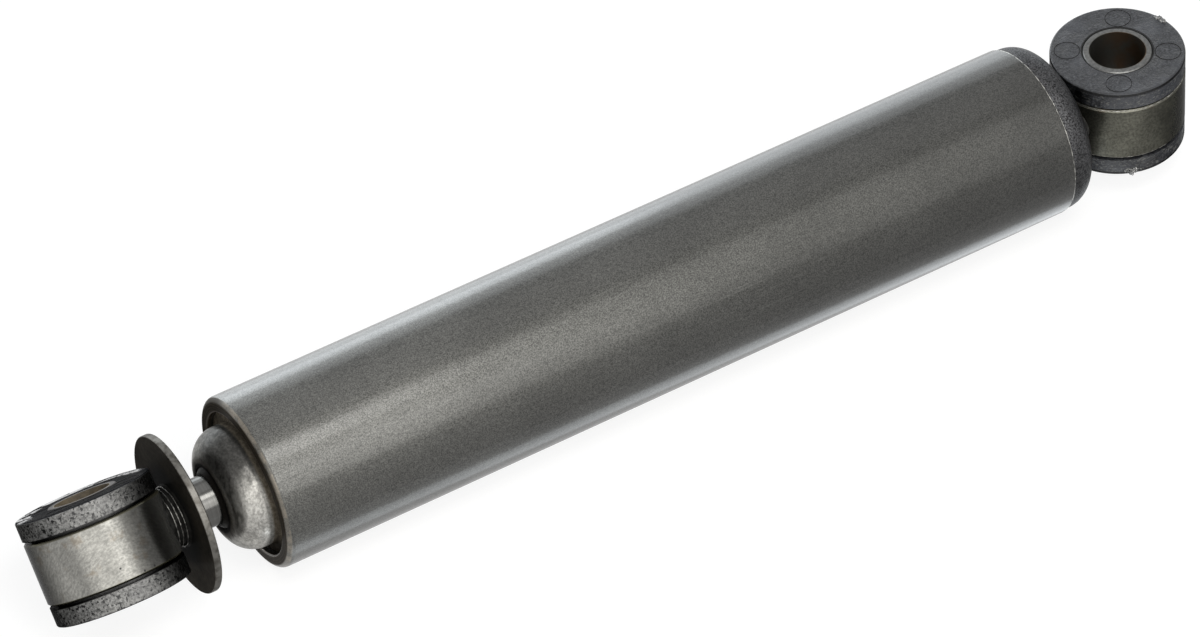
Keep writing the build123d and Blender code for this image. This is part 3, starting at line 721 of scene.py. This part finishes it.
def make_torn_gates():
    """The torn gate stubs on the rims of the base eye's bushing, each a cluster of crumbs."""
    torn = torn_rubber()
    crumbs = 14
    stubs = {
        "base_gate_stub_upper": (-166.0, 18.15 * mm, 14.4 * mm, 5),
        "base_gate_stub_lower": (70.0, 18.7 * mm, -13.4 * mm, 9),
    }
    for name, (angle, radius, height, seed) in stubs.items():
        draw = random.Random(seed)
        shape = bmesh.new()
        for number in range(crumbs):
            turn = math.radians(angle + draw.uniform(-6.5, 6.5))
            reach = radius + draw.uniform(-0.3, 0.15) * mm
            rise = height + draw.uniform(-0.6, 0.35) * mm
            centre = Vector((math.cos(turn) * reach, math.sin(turn) * reach, rise))
            add_flake(shape, centre, draw.uniform(0.4, 0.9) * mm, seed + number)
        add_piece(name, shape, "tube_body", torn)


# Floor, room, lamps and camera

def seen_rays(tree, path):
    """1 for the rays that show a surface: from the camera, a reflection or glass."""
    total = path.outputs["Is Camera Ray"]
    for name in ("Is Glossy Ray", "Is Transmission Ray"):
        node = tree.nodes.new("ShaderNodeMath")
        node.operation = "MAXIMUM"
        tree.links.new(total, node.inputs[0])
        tree.links.new(path.outputs[name], node.inputs[1])
        total = node.outputs[0]
    return total


# The floor's radius, how much light it throws back, and how it shows: the share of light and shadow it
# holds, and a glow of its own that rises to plain white between two distances
floor_radius = 8.0
floor_grey = (0.7, 0.7, 0.7, 1.0)
shown_grey = (0.22, 0.22, 0.22, 1.0)
near_glow = 0.84
far_glow = 1.0
near_reach = 0.45
far_reach = 0.7


def make_floor():
    """A wide white floor that shows white and still holds the part's shadow."""
    mesh = bpy.data.meshes.new("floor")
    shape = bmesh.new()
    bmesh.ops.create_circle(shape, cap_ends=True, segments=96, radius=floor_radius)
    shape.to_mesh(mesh)
    shape.free()
    floor = bpy.data.objects.new("floor", mesh)
    floor.location.z = -tube_radius
    bpy.context.scene.collection.objects.link(floor)
    material = bpy.data.materials.new("floor")
    material.use_nodes = True
    tree = material.node_tree
    tree.nodes.clear()
    path = tree.nodes.new("ShaderNodeLightPath")
    seen = seen_rays(tree, path)
    paper = tree.nodes.new("ShaderNodeBsdfDiffuse")
    paper.inputs["Color"].default_value = floor_grey
    shown = tree.nodes.new("ShaderNodeBsdfDiffuse")
    shown.inputs["Color"].default_value = shown_grey
    glow = tree.nodes.new("ShaderNodeEmission")
    spot = tree.nodes.new("ShaderNodeTexCoord")
    reach = tree.nodes.new("ShaderNodeVectorMath")
    reach.operation = "LENGTH"
    tree.links.new(spot.outputs["Object"], reach.inputs[0])
    level = tree.nodes.new("ShaderNodeMapRange")
    level.interpolation_type = "SMOOTHSTEP"
    level.inputs["From Min"].default_value = near_reach
    level.inputs["From Max"].default_value = far_reach
    level.inputs["To Min"].default_value = near_glow
    level.inputs["To Max"].default_value = far_glow
    tree.links.new(reach.outputs["Value"], level.inputs["Value"])
    tree.links.new(level.outputs["Result"], glow.inputs["Strength"])
    sum_node = tree.nodes.new("ShaderNodeAddShader")
    mix = tree.nodes.new("ShaderNodeMixShader")
    out = tree.nodes.new("ShaderNodeOutputMaterial")
    tree.links.new(shown.outputs[0], sum_node.inputs[0])
    tree.links.new(glow.outputs[0], sum_node.inputs[1])
    tree.links.new(seen, mix.inputs[0])
    tree.links.new(paper.outputs[0], mix.inputs[1])
    tree.links.new(sum_node.outputs[0], mix.inputs[2])
    tree.links.new(mix.outputs[0], out.inputs["Surface"])
    mesh.materials.append(material)


room_level = 0.08


def make_world():
    """A room that shows white and adds a little light to the lamps'."""
    world = bpy.data.worlds.new("studio")
    bpy.context.scene.world = world
    world.use_nodes = True
    tree = world.node_tree
    background = tree.nodes["Background"]
    background.inputs["Color"].default_value = (1.0, 1.0, 1.0, 1.0)
    path = tree.nodes.new("ShaderNodeLightPath")
    seen = seen_rays(tree, path)
    strength = tree.nodes.new("ShaderNodeMapRange")
    strength.inputs["To Min"].default_value = room_level
    strength.inputs["To Max"].default_value = 1.0
    tree.links.new(seen, strength.inputs["Value"])
    tree.links.new(strength.outputs["Result"], background.inputs["Strength"])


def softbox(name, centre, target, width, height, radiance, colour, across=shock_axis):
    """A rectangular lamp of a given brightness, its width along the shock, facing a target."""
    data = bpy.data.lights.new(name, "AREA")
    data.shape = "RECTANGLE"
    data.size = width
    data.size_y = height
    data.energy = radiance * math.pi * width * height
    data.color = colour
    lamp = bpy.data.objects.new(name, data)
    back = (Vector(centre) - Vector(target)).normalized()
    right = (across - back * across.dot(back)).normalized()
    up = back.cross(right)
    turn = Matrix((right, up, back)).transposed().to_4x4()
    lamp.matrix_world = Matrix.Translation(centre) @ turn
    lamp.visible_camera = False
    bpy.context.scene.collection.objects.link(lamp)


warm_light = (1.0, 0.99, 0.96)
key_light = (1.0, 0.99, 0.97)
plain_light = (1.0, 1.0, 1.0)
cool_light = (0.89, 0.95, 1.0)
lamp_lift = 0.5 * mm

# Lamps round the shock: angle round it from the front over the top, distance, place along it, width along
# it, height, brightness, colour
arc_lamps = {
    "front_box": (42, 1.1, 0.3, 0.9, 1.25, 1.5, warm_light),
    "front_dim_box": (42, 1.1, -0.5, 0.7, 1.25, 0.75, warm_light),
    "key_box": (65, 0.94, 0.2, 0.5, 0.3, 6.0, key_light),
    "key_low_box": (42, 0.96, 0.1, 0.5, 0.3, 1.3, key_light),
    "fill_box": (28, 1.0, 0.06, 0.4, 0.5, 1.35, key_light),
    "eye_strip": (33, 0.95, 0.22, 0.16, 0.5, 1.9, warm_light),
    "end_box": (38, 1.1, 1.25, 1.0, 1.0, 1.5, warm_light),
    "top_box": (108, 1.1, -0.2, 1.3, 0.8, 0.48, plain_light),
    "back_box": (172, 0.6, -0.05, 1.3, 0.2, 2.25, cool_light),
    "back_soft_box": (153, 0.6, -0.05, 1.3, 0.2, 1.2, cool_light),
    "back_end_box": (172, 0.59, 0.22, 0.6, 0.2, 1.7, cool_light),
}
# Lamps that lie on the floor and shine up: middle x and y, width along the shock, depth, turn in degrees,
# brightness
floor_lamps = {
    "near_strip": (0.147, 0.0247, 0.276, 0.0088, 2.3, 1.5),
    "far_strip": (0.0, -0.34, 0.9, 0.42, 0.0, 1.22),
}


def make_lamps():
    """Hangs the lamps round the shock and lays the others on the floor."""
    for name, (angle, distance, along, width, height, radiance, colour) in arc_lamps.items():
        turn = math.radians(angle)
        centre = (along, distance * math.cos(turn), distance * math.sin(turn))
        softbox(name, centre, (along, 0.0, 0.0), width, height, radiance, colour)
    for name, (x, y, width, depth, turn, radiance) in floor_lamps.items():
        across = Matrix.Rotation(math.radians(turn), 3, "Z") @ shock_axis
        below = (x, y, lamp_lift - tube_radius)
        softbox(name, below, (x, y, 0.0), width, depth, radiance, cool_light, across)


camera_place = Vector((0.697741, 1.005472, 1.050015))
camera_back = Vector((0.34161, 0.65062, 0.67823))
camera_roll = math.radians(-4.6246)
camera_lens = 170.96
camera_sensor = 36.0


def make_camera():
    """The photo's camera: its place, direction, roll and lens were solved from the photo."""
    data = bpy.data.cameras.new("photo_camera")
    data.lens = camera_lens
    data.sensor_width = camera_sensor
    camera = bpy.data.objects.new("photo_camera", data)
    camera.location = camera_place
    camera.rotation_mode = "QUATERNION"
    level = (-camera_back).to_track_quat("-Z", "Y")
    camera.rotation_quaternion = level @ Quaternion((0.0, 0.0, 1.0), camera_roll)
    bpy.context.scene.collection.objects.link(camera)
    bpy.context.scene.camera = camera


dress_nodes()
make_beads()
make_mould_marks()
make_torn_gates()
make_floor()
make_world()
make_lamps()
make_camera()
bpy.context.scene.view_settings.view_transform = "Standard"
